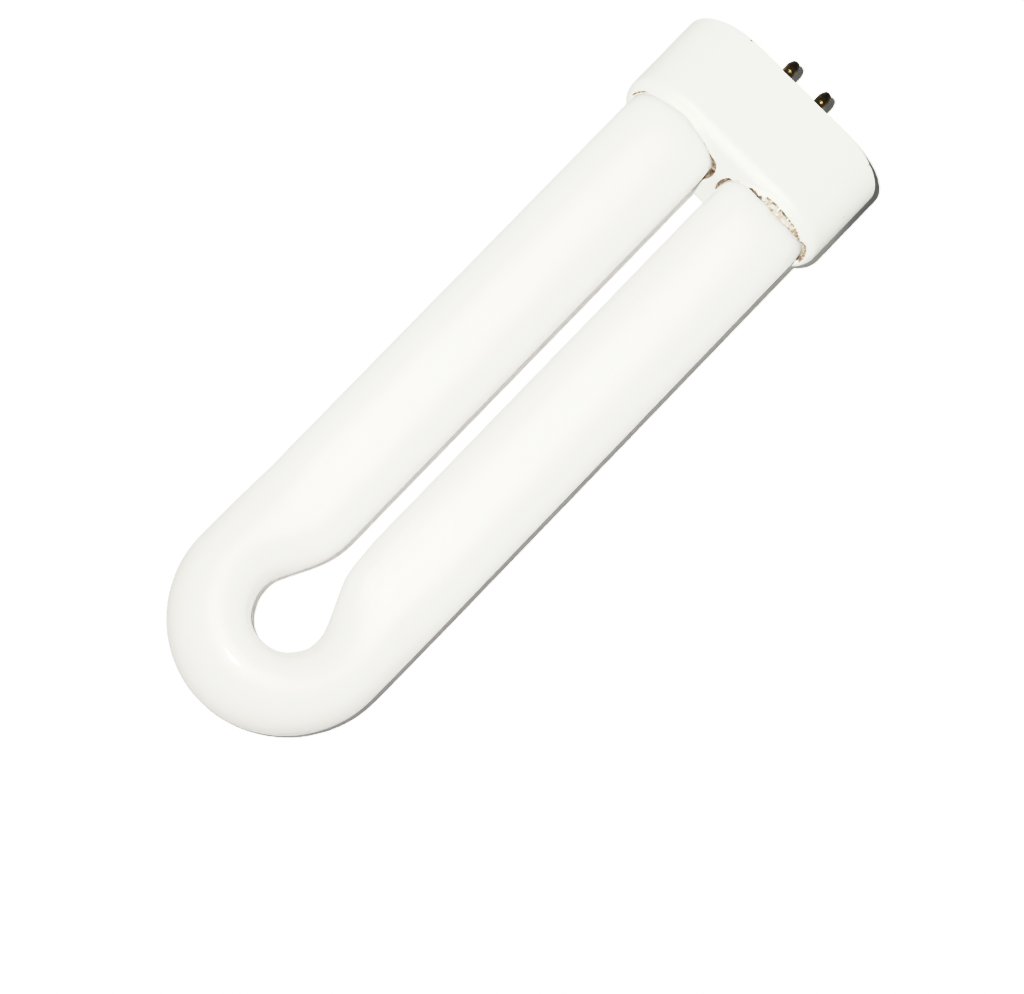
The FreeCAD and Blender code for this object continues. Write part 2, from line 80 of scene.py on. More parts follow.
# --------------------------------------------------------------------- helpers
def spline(xs, ys, at):
    """Natural cubic spline through the points."""
    n = len(xs)
    h = np.diff(xs)
    a = np.zeros((n, n))
    r = np.zeros(n)
    a[0, 0] = a[-1, -1] = 1
    for i in range(1, n - 1):
        a[i, i - 1], a[i, i], a[i, i + 1] = h[i - 1], 2 * (h[i - 1] + h[i]), h[i]
        r[i] = 6 * ((ys[i + 1] - ys[i]) / h[i] - (ys[i] - ys[i - 1]) / h[i - 1])
    m = np.linalg.solve(a, r)
    k = np.clip(np.searchsorted(xs, at) - 1, 0, n - 2)
    d0, d1 = at - xs[k], xs[k + 1] - at
    return ((m[k] * d1 ** 3 + m[k + 1] * d0 ** 3) / (6 * h[k])
            + (ys[k] / h[k] - m[k] * h[k] / 6) * d1 + (ys[k + 1] / h[k] - m[k + 1] * h[k] / 6) * d0)


def mesh_object(name, verts, faces, smooth=True):
    me = bpy.data.meshes.new(name)
    me.from_pydata([tuple(v) for v in verts], [], [tuple(f) for f in faces])
    bm = bmesh.new()
    bm.from_mesh(me)
    bmesh.ops.recalc_face_normals(bm, faces=bm.faces[:])
    bm.to_mesh(me)
    bm.free()
    me.validate()
    for p in me.polygons:
        p.use_smooth = smooth
    ob = bpy.data.objects.new(name, me)
    scene.collection.objects.link(ob)
    return ob


def rings_to_mesh(name, rings, close_start=True, close_end=True, loop=False):
    """A skin through rings of equal length. A ring of one point is a pole."""
    verts, starts = [], []
    for ring in rings:
        starts.append(len(verts))
        verts.extend(ring)
    faces = []
    pairs = list(range(len(rings) - 1)) + ([len(rings) - 1] if loop else [])
    for i in pairs:
        j = (i + 1) % len(rings)
        a, b = rings[i], rings[j]
        sa, sb = starts[i], starts[j]
        if len(a) == 1 and len(b) == 1:
            continue
        n = max(len(a), len(b))
        for k in range(n):
            q = (k + 1) % n
            if len(a) == 1:
                faces.append((sa, sb + k, sb + q))
            elif len(b) == 1:
                faces.append((sa + k, sa + q, sb))
            else:
                faces.append((sa + k, sa + q, sb + q, sb + k))
    return mesh_object(name, np.array(verts) * MM, faces)


def ease(x, a, b):
    """0 before a, 1 after b, smooth between (a may be above b)."""
    t = np.clip((x - a) / (b - a), 0.0, 1.0)
    return t * t * (3 - 2 * t)


# ------------------------------------------------------------------ glass tube
def leg_end_profile():
    """(y, radius) from the exhaust tip down to the start of the straight wall."""
    pts = [(TIP_END, 0.0)]
    for t in np.linspace(80, 0, 9):
        pts.append((TIP_END - TIP_R + TIP_R * math.sin(math.radians(t)), TIP_R * math.cos(math.radians(t))))
    flat = SHOULDER_Y + SHOULDER_R
    pts += [(flat + 0.3, TIP_R), (flat + 0.08, TIP_R + 0.08), (flat, TIP_R + 0.3), (flat, 3.6), (flat, 5.3)]
    for t in np.linspace(0, 90, 13):
        pts.append((SHOULDER_Y + SHOULDER_R * math.cos(math.radians(t)),
                    TUBE_R - SHOULDER_R + SHOULDER_R * math.sin(math.radians(t))))
    return pts


def build_tube():
    seg = 144
    psi = np.linspace(0, 2 * np.pi, seg, endpoint=False)
    cp, sp = np.cos(psi), np.sin(psi)
    bow = math.pi * MEAN_R
    far = [(d, 1.525, 20.575) for d in (25.0, 26.5, 28.0, 32.0, 38.0, 46.0)]
    rows = [(-d, i, o) for d, i, o in (NECK_LEFT + far)[::-1]]
    rows += [(math.radians(a - 180.0) * MEAN_R, i, o) for a, i, o in BEND]
    rows += [(bow + d, i, o) for d, i, o in NECK_RIGHT + far]
    rows = np.array(rows)
    reach = SHOULDER_Y - BEND_Y
    legs = np.linspace(30.0, reach, 60)
    path = np.concatenate([-legs[:0:-1], np.linspace(-30.0, bow + 30.0, 300), bow + legs[1:]])
    path = path[(path > -reach + 0.5) & (path < bow + reach - 0.5)]
    near = np.clip(path, rows[0, 0], rows[-1, 0])
    inner, outer = spline(rows[:, 0], rows[:, 1], near), spline(rows[:, 0], rows[:, 2], near)
    plain = (path < rows[0, 0]) | (path > rows[-1, 0])
    inner, outer = np.where(plain, 1.525, inner), np.where(plain, 20.575, outer)

    def ring(centre, out, a, b):
        return np.stack([centre[0] + out[0] * a * cp, centre[1] + out[1] * a * cp, b * sp], 1)

    def closed_end(side):
        x = side * LEG_HALF + SHIFT
        return [np.array([(x, y, 0.0)]) if r == 0 else ring((x, y), (side, 0), r, r) for y, r in leg_end_profile()]

    rings = closed_end(-1)
    thin_coat_and_shade = [np.zeros(len(g)) for g in rings]
    for p, i, o in zip(path, inner, outer):
        # partly a thinner powder coat on the bend and partly painted shade: the bend's colour is darkened, most of all
        # on the outer side and least underneath
        near_bend = ease(p, -26.0, 16.0) * ease(p, bow + 26.0, bow - 16.0)
        thin_coat_and_shade.append(near_bend * (0.45 + 0.55 * ease(cp, 0.05, 1.0)) * (1 - 0.7 * ease(sp, -0.45, -0.9)))
        mid, half = (i + o) / 2, (o - i) / 2 - 0.012
        if p < 0:
            rings.append(ring((SHIFT - mid, BEND_Y - p), (-1.0, 0.0), half, TUBE_R))
        elif p > bow:
            rings.append(ring((SHIFT + mid, BEND_Y + p - bow), (1.0, 0.0), half, TUBE_R))
        else:
            t = math.pi + p / MEAN_R
            out = (math.cos(t), math.sin(t))
            rings.append(ring((SHIFT + out[0] * mid, BEND_Y + out[1] * mid), out, half, TUBE_R))
    rings += closed_end(1)[::-1]
    thin_coat_and_shade += [np.zeros(len(g)) for g in closed_end(1)]
    ob = rings_to_mesh("glass_tube_skin", rings)
    attr = ob.data.attributes.new("thin_coat_and_shade", "FLOAT", "POINT")
    attr.data.foreach_set("value", np.concatenate(thin_coat_and_shade).astype(np.float32))
    return ob


# ------------------------------------------------------------------------ pins
def build_pin(name, sx, sz):
    seg = 72
    prof = [(-3.0, 0.5), (-3.0, 1.2), (-3.0, 1.72), (-2.92, 1.8), (-2.48, 1.8), (-2.4, 1.72), (-2.4, PIN_SEAT_R),
            (-1.2, PIN_SEAT_R), (-0.05, PIN_SEAT_R), (0.0, PIN_SEAT_R - 0.04), (0.0, PIN_R + 0.03), (0.03, PIN_R)]
    prof += [(y, PIN_R) for y in np.linspace(0.12, 5.75, 64)]
    # shoulder and nose, each with its rounding
    a0, b0, c0 = np.array((6.05, PIN_R)), np.array((7.3, 0.725)), np.array((7.3, 0.0))

    def corner(p, q, r, rad):
        u, w = (p - q) / np.linalg.norm(p - q), (r - q) / np.linalg.norm(r - q)
        ang = math.acos(float(np.clip(u @ w, -1, 1)))
        d = rad / math.tan(ang / 2)
        mid = (u + w) / np.linalg.norm(u + w)
        c = q + mid * rad / math.sin(ang / 2)
        s, e = q + u * d - c, q + w * d - c
        t0, t1 = math.atan2(s[1], s[0]), math.atan2(e[1], e[0])
        if t1 - t0 > math.pi:
            t1 -= 2 * math.pi
        if t0 - t1 > math.pi:
            t1 += 2 * math.pi
        return [tuple(c + rad * np.array((math.cos(t), math.sin(t)))) for t in np.linspace(t0, t1, 9)]

    prof += corner(np.array((0.0, PIN_R)), a0, b0, 0.45)
    prof += corner(a0, b0, c0, 0.45)
    prof += [(7.3, 0.12), (7.3, 0.0)]
    inner = [(-3.0, 0.5), (-1.0, 0.5), (1.2, 0.5), (1.2, 0.0)]
    th = np.linspace(0, 2 * np.pi, seg, endpoint=False)
    rings = []
    for y, r in inner[::-1][:-1] + prof:
        if r == 0:
            rings.append(np.array([(0.0, y, 0.0)]))
        else:
            rings.append(np.stack([r * np.cos(th), np.full(seg, y), r * np.sin(th)], 1))
    # staked dimple on the side that faces away from the pin's twin
    ball, cy, cz = 0.95, 4.1, PIN_R + 0.95 - 0.3
    for ring in rings:
        for p in ring:
            if len(ring) == 1 or math.hypot(p[0], p[2]) < 0.6:
                continue
            d2 = ball ** 2 - p[0] ** 2 - (p[1] - cy) ** 2
            if d2 > 0 and sz * p[2] > 0:
                low = cz - math.sqrt(d2)
                if sz * p[2] > low:
                    p[2] = sz * low
    for ring in rings:
        ring += np.array((sx * PIN_X, 0.0, sz * PIN_Z))
    return rings_to_mesh(name, rings)


# ----------------------------------------------------------------- cement ring
def span(th, lo, hi, soft=4.0):
    """1 where the angle is between lo and hi degrees, fading over soft degrees."""
    c = (lo + hi) / 2
    d = np.abs((th - c + 180.0) % 360.0 - 180.0)
    return 1 - ease(d, (hi - lo) / 2 - soft / 2, (hi - lo) / 2 + soft / 2)


def wavy(th, rng, orders, fall):
    t = np.radians(th)
    got = sum(math.pow(n, -fall) * np.sin(n * t + rng.uniform(0, 6.28)) for n in orders)
    return got / math.sqrt(sum(math.pow(n, -2 * fall) for n in orders) / 2)


# Where the cement's outer edge lies on the glass, as (angle, y).
FOOT_LEFT = [(0, -19.6), (20, -19.7), (44, -19.85), (56, -19.98), (75, -19.9), (94, -19.68), (118, -19.66), (132, -19.52),
             (144, -19.37), (157, -19.27), (175, -19.3), (200, -19.6), (230, -19.9), (270, -20.0), (310, -19.8), (335, -19.65)]
FOOT_RIGHT = [(0, -19.35), (28, -19.4), (40, -19.72), (48, -20.0), (65, -20.7), (76, -21.05), (88, -21.15), (102, -20.85), (114, -20.45), (128, -19.88),
              (139, -19.68), (150, -19.55), (165, -19.45), (200, -19.55), (230, -19.9), (270, -20.1), (310, -19.9), (340, -19.55)]


def rim_height(x, z):
    """y of the cap's tube-side face, with its rounded rim, above the point (x, z)."""
    reach = np.hypot(np.maximum(np.abs(x) - CAP_HALF, 0.0), z)
    over = np.clip(reach - (CAP_R - RIM_R), 0.0, RIM_R)
    return RIM_R - CAP_LEN - np.sqrt(RIM_R ** 2 - over ** 2)


def build_cement(name, side):
    """Cement in the gap round one leg: pale and feathered out on to the cap where it was wiped,
    brown, crumbly and sunken where it wasn't. Angles run from +X towards +Z."""
    seg, steps = 480, 18
    deg = np.linspace(0, 360.0, seg, endpoint=False)
    th = np.radians(deg)
    tx, off = side * LEG_HALF + SHIFT, side * LEG_HALF + SHIFT - side * CAP_HALF
    rng = np.random.default_rng(11 if side < 0 else 23)
    fine = wavy(deg, rng, (17, 29, 41, 57, 73, 97), 0.35)
    # the socket wall along the same rays from the leg's axis
    wall = -off * np.cos(th) + np.sqrt(SOCKET_R ** 2 - (off * np.sin(th)) ** 2)
    if side < 0:
        sunk = np.maximum(span(deg, -36, 26, 26), span(deg, 214, 236, 10))
        edge = np.where(deg < 180, np.maximum(ease(deg, 54, 10), 0.16), 1.0)        # how far out the brown reaches
        brown = np.maximum(span(deg, -34, 61, 6), span(deg, 212, 238, 10))
        line = 1.25 * span(deg, 146, 180, 12)
        bits = 0.7 * span(deg, 252, 290, 10)
        seam, dark = np.zeros(seg), np.maximum(span(deg, 14, 62, 20), span(deg, -20, -4, 6))
        crumb, foot = np.zeros(seg), FOOT_LEFT
    else:
        sunk = np.maximum.reduce([span(deg, 157, 198, 12), span(deg, -10, 34, 16), span(deg, 262, 284, 10)])
        edge = np.where(deg < 90, 0.25 + 0.75 * ease(deg, 46, 24), 1.0)
        brown = np.maximum.reduce([span(deg, 154, 198, 6), 0.84 * span(deg, -9, 45, 6), span(deg, 262, 284, 10)])
        line = span(deg, 137, 158, 8)
        bits = np.maximum.reduce([1.3 * span(deg, 104, 126, 7), 0.80 * span(deg, 62, 108, 6), 0.88 * span(deg, 47, 58, 5),
                                  0.66 * span(deg, 38, 66, 8), 0.6 * span(deg, 215, 250, 10)])
        seam = 1.36 * span(deg, 58, 105, 8) - 0.30 * np.abs(fine)
        dark = np.maximum(span(deg, 155, 166, 6), span(deg, -9, 6, 6))
        # a crumbly band right across the fill
        crumb, foot = 0.84 * span(deg, 40, 106, 8), FOOT_RIGHT
    at = np.array(foot, float)
    wide = np.interp((deg[:, None] + np.linspace(-6, 6, 9)) % 360.0, at[:, 0], at[:, 1], period=360.0)
    foot_y = wide.mean(1) + 0.035 * wavy(deg, rng, (5, 8, 13), 0.3) + 0.018 * fine
    low = 0.30 + 0.05 * wavy(deg, rng, (9, 14, 23, 31), 0.4)
    inner = TUBE_R - 0.01

    def over(rad):
        return rim_height(tx + rad * np.cos(th), rad * np.sin(th))

    proud = over(inner) - foot_y
    rings, stain = [], []
    for f in np.linspace(0.0, 1.0, steps):
        lip = wall + 0.45 * (1 - sunk)
        r_out = inner + (lip - inner) * f
        y_out = over(r_out) + 0.02 * f - (proud + 0.02) * (1 - f) ** 1.5
        grain = rng.normal(0, 1, seg)
        grain = (grain + np.roll(grain, 1) + np.roll(grain, -1)) / 1.73
        y_low = over(wall) + low + 0.07 * grain * math.sin(math.pi * f) + 0.35 * (f - 0.5) ** 2
        rings.append((r_out, y_out + (y_low - y_out) * sunk))
        got = brown * ease(f, edge + 0.06, edge - 0.10)
        got = got * (1 + 0.13 * dark * math.exp(-((f - 0.1) / 0.25) ** 2))
        got = np.maximum(got, bits * ease(f, 0.46 + 0.05 * fine, 0.18 + 0.05 * fine))
        got = np.maximum(got, crumb * ease(f, 0.62 + 0.06 * fine, 0.38 + 0.06 * fine))
        got = np.maximum(got, seam * math.exp(-((f - 0.46) / 0.13) ** 2))
        got = np.maximum(got, 0.9 * line * math.exp(-((f - 0.28) / 0.26) ** 2))
        stain.append(np.clip(got, 0, 1.3))
    rings.append((wall, np.maximum(rings[-1][1] + 0.3, over(wall) + 0.45)))
    rings.append((wall, np.full(seg, CEMENT_DEEP)))
    rings.append((np.full(seg, inner), np.full(seg, CEMENT_DEEP)))
    stain += [np.zeros(seg), np.full(seg, 0.8), np.full(seg, 0.8)]
    ob = rings_to_mesh(name, [np.stack([tx + r * np.cos(th), y, r * np.sin(th)], 1) for r, y in rings], loop=True)
    attr = ob.data.attributes.new("stain", "FLOAT", "POINT")
    attr.data.foreach_set("value", np.concatenate(stain).astype(np.float32))
    return ob


# ------------------------------------------------------------------- materials
def material(name):
    m = bpy.data.materials.new(name)
    m.use_nodes = True
    nt = m.node_tree
    nt.nodes.clear()
    out = nt.nodes.new("ShaderNodeOutputMaterial")
    bs = nt.nodes.new("ShaderNodeBsdfPrincipled")
    nt.links.new(bs.outputs["BSDF"], out.inputs["Surface"])
    return m, nt, bs


def node(nt, kind, **props):
    n = nt.nodes.new(kind)
    for k, v in props.items():
        setattr(n, k, v)
    return n


def coords(nt, scale=(1, 1, 1)):
    tc = node(nt, "ShaderNodeTexCoord")
    mp = node(nt, "ShaderNodeMapping")
    mp.inputs["Scale"].default_value = scale
    nt.links.new(tc.outputs["Object"], mp.inputs["Vector"])
    return mp.outputs["Vector"]


def noise(nt, vec, scale, detail=4.0, rough=0.55):
    n = node(nt, "ShaderNodeTexNoise")
    n.inputs["Scale"].default_value = scale
    n.inputs["Detail"].default_value = detail
    n.inputs["Roughness"].default_value = rough
    nt.links.new(vec, n.inputs["Vector"])
    return n.outputs["Fac"]


def ramp(nt, fac, stops):
    r = node(nt, "ShaderNodeValToRGB")
    els = r.color_ramp.elements
    while len(els) < len(stops):
        els.new(0.5)
    for el, (pos, col) in zip(els, stops):
        el.position = pos
        el.color = col if len(col) == 4 else (*col, 1)
    nt.links.new(fac, r.inputs["Fac"])
    return r.outputs["Color"]


def grey(v):
    return (v, v, v, 1)


def mix(nt, fac, a, b, blend="MIX"):
    n = node(nt, "ShaderNodeMix", data_type="RGBA", blend_type=blend)
    if isinstance(fac, (int, float)):
        n.inputs[0].default_value = fac
    else:
        nt.links.new(fac, n.inputs[0])
    for sock, v in ((n.inputs[6], a), (n.inputs[7], b)):
        if isinstance(v, tuple):
            sock.default_value = v if len(v) == 4 else (*v, 1)
        else:
            nt.links.new(v, sock)
    return n.outputs[2]


def specks(nt, vec, scale, size, share):
    """Small scattered dots: 1 inside a dot, 0 elsewhere."""
    v = node(nt, "ShaderNodeTexVoronoi")
    v.inputs["Scale"].default_value = scale
    nt.links.new(vec, v.inputs["Vector"])
    near = ramp(nt, v.outputs["Distance"], [(0.0, grey(1)), (size * 0.6, grey(1)), (size, grey(0))])
    sep = node(nt, "ShaderNodeSeparateColor")
    nt.links.new(v.outputs["Color"], sep.inputs["Color"])
    pick = ramp(nt, sep.outputs["Red"], [(0.0, grey(1)), (share, grey(1)), (share + 0.001, grey(0))])
    return mix(nt, 1.0, near, pick, "MULTIPLY")


def bump(nt, bs, height, strength, distance):
    b = node(nt, "ShaderNodeBump")
    b.inputs["Strength"].default_value = strength
    b.inputs["Distance"].default_value = distance
    nt.links.new(height, b.inputs["Height"])
    nt.links.new(b.outputs["Normal"], bs.inputs["Normal"])


def attribute(nt, name):
    n = node(nt, "ShaderNodeAttribute", attribute_name=name)
    return n.outputs["Fac"]


def spot(nt, vec, at, radius, ragged=None):
    """1 inside a small mark about the point at (mm), fading out at its radius."""
    d = node(nt, "ShaderNodeVectorMath", operation="DISTANCE")
    nt.links.new(vec, d.inputs[0])
    d.inputs[1].default_value = tuple(c * MM for c in at)
    far = d.outputs["Value"]
    if ragged is not None:
        m = node(nt, "ShaderNodeMath", operation="MULTIPLY_ADD")
        nt.links.new(ragged, m.inputs[0])
        m.inputs[1].default_value = radius * MM * 1.2
        nt.links.new(far, m.inputs[2])
        far = m.outputs[0]
    r = node(nt, "ShaderNodeMapRange", interpolation_type="SMOOTHSTEP")
    nt.links.new(far, r.inputs["Value"])
    r.inputs["From Min"].default_value = radius * MM * (0.4 if ragged is None else 0.9)
    r.inputs["From Max"].default_value = radius * MM * (1.0 if ragged is None else 1.5)
    r.inputs["To Min"].default_value = 1.0
    r.inputs["To Max"].default_value = 0.0
    return r.outputs["Result"]


def faded(nt, fac, by):
    m = node(nt, "ShaderNodeMath", operation="MULTIPLY")
    nt.links.new(fac, m.inputs[0])
    m.inputs[1].default_value = by
    return m.outputs[0]


def glass_material():
    m, nt, bs = material("coated_glass_look")
    v = coords(nt)
    cloudy = ramp(nt, noise(nt, v, 30.0, 3.0), [(0.3, (0.870, 0.852, 0.832)), (0.7, (0.886, 0.869, 0.851))])
    fine = noise(nt, v, 420.0, 4.0)
    col = mix(nt, ramp(nt, fine, [(0.4, grey(0.0)), (0.8, grey(0.2))]), cloudy, (0.860, 0.840, 0.814))
    dots = specks(nt, v, 95.0, 0.026, 0.05)
    col = mix(nt, dots, col, (0.50, 0.47, 0.42))
    # painted shade, partly a thinner powder coat: the bend's colour is multiplied darker, most on its outer side
    col = mix(nt, attribute(nt, "thin_coat_and_shade"), col, (0.735, 0.727, 0.716), "MULTIPLY")
    # a faint tide mark of cement wash beside the right socket, and a few specks of dirt
    wash = noise(nt, v, 900.0, 4.0)
    for at, rad in (((11.2, -21.3, 9.5), 1.3), ((12.6, -21.1, 9.4), 1.2), ((13.9, -20.7, 9.05), 1.1)):
        col = mix(nt, faded(nt, spot(nt, v, at, rad, wash), 0.55), col, (0.74, 0.70, 0.55))
    for at, rad in (((-19.71, -135.1, 4.38), 0.34), ((7.17, -127.86, 8.78), 0.3), ((-4.6, -96.0, 6.9), 0.26)):
        col = mix(nt, faded(nt, spot(nt, v, at, rad), 0.6), col, (0.45, 0.42, 0.38))
    nt.links.new(col, bs.inputs["Base Color"])
    nt.links.new(ramp(nt, noise(nt, v, 60.0, 5.0, 0.6), [(0.3, grey(0.08)), (0.8, grey(0.11))]), bs.inputs["Roughness"])
    bs.inputs["IOR"].default_value = 1.5
    bs.inputs["Subsurface Weight"].default_value = 1.0
    bs.inputs["Subsurface Radius"].default_value = (1.0, 0.97, 0.92)
    bs.inputs["Subsurface Scale"].default_value = 0.014
    bump(nt, bs, noise(nt, v, 55.0, 2.0), 0.05, 0.0006)
    return m


def plastic_material():
    m, nt, bs = material("cap_plastic_look")
    v = coords(nt)
    base = ramp(nt, noise(nt, v, 45.0, 4.0), [(0.3, (0.740, 0.740, 0.708)), (0.7, (0.766, 0.766, 0.735))])
    smudge = ramp(nt, noise(nt, v, 130.0, 6.0, 0.65), [(0.5, grey(0.0)), (0.85, grey(0.35))])
    col = mix(nt, smudge, base, (0.717, 0.707, 0.655))
    dots = specks(nt, v, 150.0, 0.04, 0.05)
    col = mix(nt, dots, col, (0.46, 0.43, 0.37))
    # painted shade standing in for a nick in the pin-side edge, a worn yellow spot and a few specks
    ragged = noise(nt, v, 1500.0, 4.0)
    # painted shade: a near-black spot on the pin-side edge for a nick that the shape does not have
    col = mix(nt, faded(nt, spot(nt, v, (-12.8, -0.15, 11.3), 0.55, ragged), 0.85), col, (0.10, 0.085, 0.06))
    col = mix(nt, faded(nt, spot(nt, v, (17.8, -0.25, 9.2), 0.6, ragged), 0.8), col, (0.42, 0.36, 0.16))
    for at, rad, much in (((-18.41, -6.75, 8.77), 0.4, 0.3), ((-8.28, -2.53, 11.45), 0.4, 0.4), ((21.16, -9.35, 5.37), 0.5, 0.5)):
        col = mix(nt, faded(nt, spot(nt, v, at, rad, ragged), much), col, (0.40, 0.37, 0.30))
    nt.links.new(col, bs.inputs["Base Color"])
    nt.links.new(ramp(nt, noise(nt, v, 180.0, 5.0), [(0.3, grey(0.56)), (0.75, grey(0.68))]), bs.inputs["Roughness"])
    bs.inputs["IOR"].default_value = 1.48
    bs.inputs["Specular IOR Level"].default_value = 0.25
    bs.inputs["Subsurface Weight"].default_value = 0.3
    bs.inputs["Subsurface Radius"].default_value = (1.0, 0.95, 0.85)
    bs.inputs["Subsurface Scale"].default_value = 0.0012
    bump(nt, bs, noise(nt, v, 2600.0, 3.0, 0.6), 0.12, 0.00005)
    return m


def brass_material():
    m, nt, bs = material("pin_brass_look")
    v = coords(nt)
    tarnish = noise(nt, v, 700.0, 6.0, 0.65)
    col = ramp(nt, tarnish, [(0.25, (0.040, 0.031, 0.016)), (0.5, (0.15, 0.115, 0.055)), (0.75, (0.40, 0.32, 0.17))])
    # the noses have gone nearly black
    sep = node(nt, "ShaderNodeSeparateXYZ")
    nt.links.new(v, sep.inputs["Vector"])
    nose = node(nt, "ShaderNodeMapRange", interpolation_type="SMOOTHSTEP")
    nt.links.new(sep.outputs["Y"], nose.inputs["Value"])
    nose.inputs["From Min"].default_value, nose.inputs["From Max"].default_value = 4.9 * MM, 6.6 * MM
    nose.inputs["To Min"].default_value, nose.inputs["To Max"].default_value = 0.0, 0.85
    col = mix(nt, nose.outputs["Result"], col, (0.035, 0.028, 0.016))
    nt.links.new(col, bs.inputs["Base Color"])
    bs.inputs["Metallic"].default_value = 1.0
    nt.links.new(ramp(nt, tarnish, [(0.3, grey(0.5)), (0.75, grey(0.26))]), bs.inputs["Roughness"])
    bump(nt, bs, noise(nt, coords(nt, (1, 6, 1)), 900.0, 3.0), 0.25, 0.00008)
    return m


def cement_material():
    m, nt, bs = material("capping_cement_look")
    v = coords(nt)
    white = ramp(nt, noise(nt, v, 240.0, 4.0), [(0.3, (0.732, 0.734, 0.688)), (0.7, (0.758, 0.761, 0.717))])
    brown = ramp(nt, noise(nt, v, 1150.0, 6.0, 0.7), [(0.32, (0.090, 0.074, 0.056)), (0.44, (0.226, 0.192, 0.153)),
                                                     (0.56, (0.375, 0.332, 0.280)), (0.70, (0.55, 0.507, 0.450))])
    rosy = ramp(nt, noise(nt, v, 260.0, 3.0), [(0.42, grey(0.0)), (0.62, grey(0.7))])
    brown = mix(nt, rosy, brown, (0.97, 0.84, 0.78), "MULTIPLY")
    deep = node(nt, "ShaderNodeMapRange", interpolation_type="SMOOTHSTEP")
    nt.links.new(attribute(nt, "stain"), deep.inputs["Value"])
    deep.inputs["From Min"].default_value, deep.inputs["From Max"].default_value = 0.98, 1.25
    brown = mix(nt, deep.outputs["Result"], brown, (0.42, 0.43, 0.42), "MULTIPLY")
    # the stain breaks up into flecks at its border
    sub = node(nt, "ShaderNodeMath", operation="ADD")
    nt.links.new(attribute(nt, "stain"), sub.inputs[0])
    nt.links.new(noise(nt, v, 1500.0, 5.0, 0.65), sub.inputs[1])
    share = node(nt, "ShaderNodeMapRange", interpolation_type="SMOOTHSTEP")
    nt.links.new(sub.outputs[0], share.inputs["Value"])
    share.inputs["From Min"].default_value, share.inputs["From Max"].default_value = 1.08, 1.42
    col = mix(nt, share.outputs["Result"], white, brown)
    nt.links.new(col, bs.inputs["Base Color"])
    bs.inputs["Roughness"].default_value = 0.85
    bump(nt, bs, noise(nt, v, 2200.0, 5.0), 0.3, 0.00008)
    return m


def wire_material():
    m, nt, bs = material("lead_wire_look")
    n = noise(nt, coords(nt, (6, 1, 6)), 1500.0, 4.0)
    nt.links.new(ramp(nt, n, [(0.3, (0.42, 0.40, 0.37)), (0.7, (0.68, 0.66, 0.63))]), bs.inputs["Base Color"])
    bs.inputs["Metallic"].default_value = 1.0
    nt.links.new(ramp(nt, n, [(0.3, grey(0.28)), (0.7, grey(0.42))]), bs.inputs["Roughness"])
    return m


def floor_material():
    m, nt, bs = material("floor_look")
    n = noise(nt, coords(nt), 60.0, 3.0)
    nt.links.new(ramp(nt, n, [(0.3, grey(0.972)), (0.7, grey(0.980))]), bs.inputs["Base Color"])
    bs.inputs["Roughness"].default_value = 0.8
    bs.inputs["Specular IOR Level"].default_value = 0.1
    # evenly pale far out too, where the key no longer reaches
    far = node(nt, "ShaderNodeVectorMath", operation="DISTANCE")
    nt.links.new(coords(nt), far.inputs[0])
    far.inputs[1].default_value = (0.0, -0.075, -0.011)
    glow = node(nt, "ShaderNodeMapRange")
    nt.links.new(far.outputs["Value"], glow.inputs["Value"])
    glow.inputs["From Min"].default_value, glow.inputs["From Max"].default_value = 0.09, 0.75
    bs.inputs["Emission Color"].default_value = (1, 1, 1, 1)
    nt.links.new(glow.outputs["Result"], bs.inputs["Emission Strength"])
    return m


GLASS, PLASTIC, BRASS = glass_material(), plastic_material(), brass_material()
CEMENT, WIRE = cement_material(), wire_material()


def dress(ob, mat, replaced=None):
    ob.data.materials.clear()
    ob.data.materials.append(mat)
    if replaced:
        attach(ob, "root")
        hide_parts(replaced)


dress(build_tube(), GLASS, "glass_tube")
for side, s in (("left", -1), ("right", 1)):
    dress(build_cement("cement_%s_fill" % side, s), CEMENT, "cement_ring_" + side)
    for level, z in (("upper", 1), ("lower", -1)):
        name = "%s_%s" % (side, level)
        dress(build_pin("pin_" + name, s, z), BRASS, "contact_pin_" + name)
        dress(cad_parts["lead_wire_" + name], WIRE)
dress(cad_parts["base_cap"], PLASTIC)

# ------------------------------------------------------------------------ floor
# The lamp lies on the lower edge of its cap and on its bend, so the floor leans
# a little against the lamp's own level.
p_cap, p_bend = Vector((0, RIM_R - CAP_LEN, -CAP_R)) * MM, Vector((0, -154.7, -9.525)) * MM
along = (p_cap - p_bend).normalized()
up = Vector((1, 0, 0)).cross(along).normalized()
half = 40.0
fl = mesh_object("floor", [p_cap + Vector((sx * half, 0, 0)) + along * sy * half
                           for sx, sy in ((-1, -1), (1, -1), (1, 1), (-1, 1))], [(0, 1, 2, 3)], smooth=False)
fl.data.materials.append(floor_material())
# The floor only takes light: what it would throw back up comes from the lower half of the world.
fl.visible_diffuse = fl.visible_glossy = fl.visible_transmission = fl.visible_shadow = False

# ----------------------------------------------------------------------- camera
D, SCALE = 2000.0, 5.6791
T0, ROLL, LAT = math.radians(25.868), math.radians(46.041), math.radians(1.509)
target = Vector((13.319, -92.728, 0.0))
f = Vector((math.sin(LAT) * math.cos(T0), math.sin(T0), -math.cos(T0) * math.cos(LAT))).normalized()
w = (Vector((0, 1, 0)) - f * f.y).normalized()
r = f.cross(w)
cx = math.cos(ROLL) * w + math.sin(ROLL) * r
cy = math.sin(ROLL) * w - math.cos(ROLL) * r
cam_data = bpy.data.cameras.new("camera")
cam_data.sensor_width = 36.0
cam_data.sensor_fit = "HORIZONTAL"
cam_data.lens = SCALE * D / 1024.0 * 36.0
cam_data.clip_start, cam_data.clip_end = 0.05, 50.0
cam = bpy.data.objects.new("camera", cam_data)
rot = Matrix((cx, cy, -f)).transposed().to_4x4()
cam.matrix_world = Matrix.Translation((target - f * D) * MM) @ rot
scene.collection.objects.link(cam)
scene.camera = cam

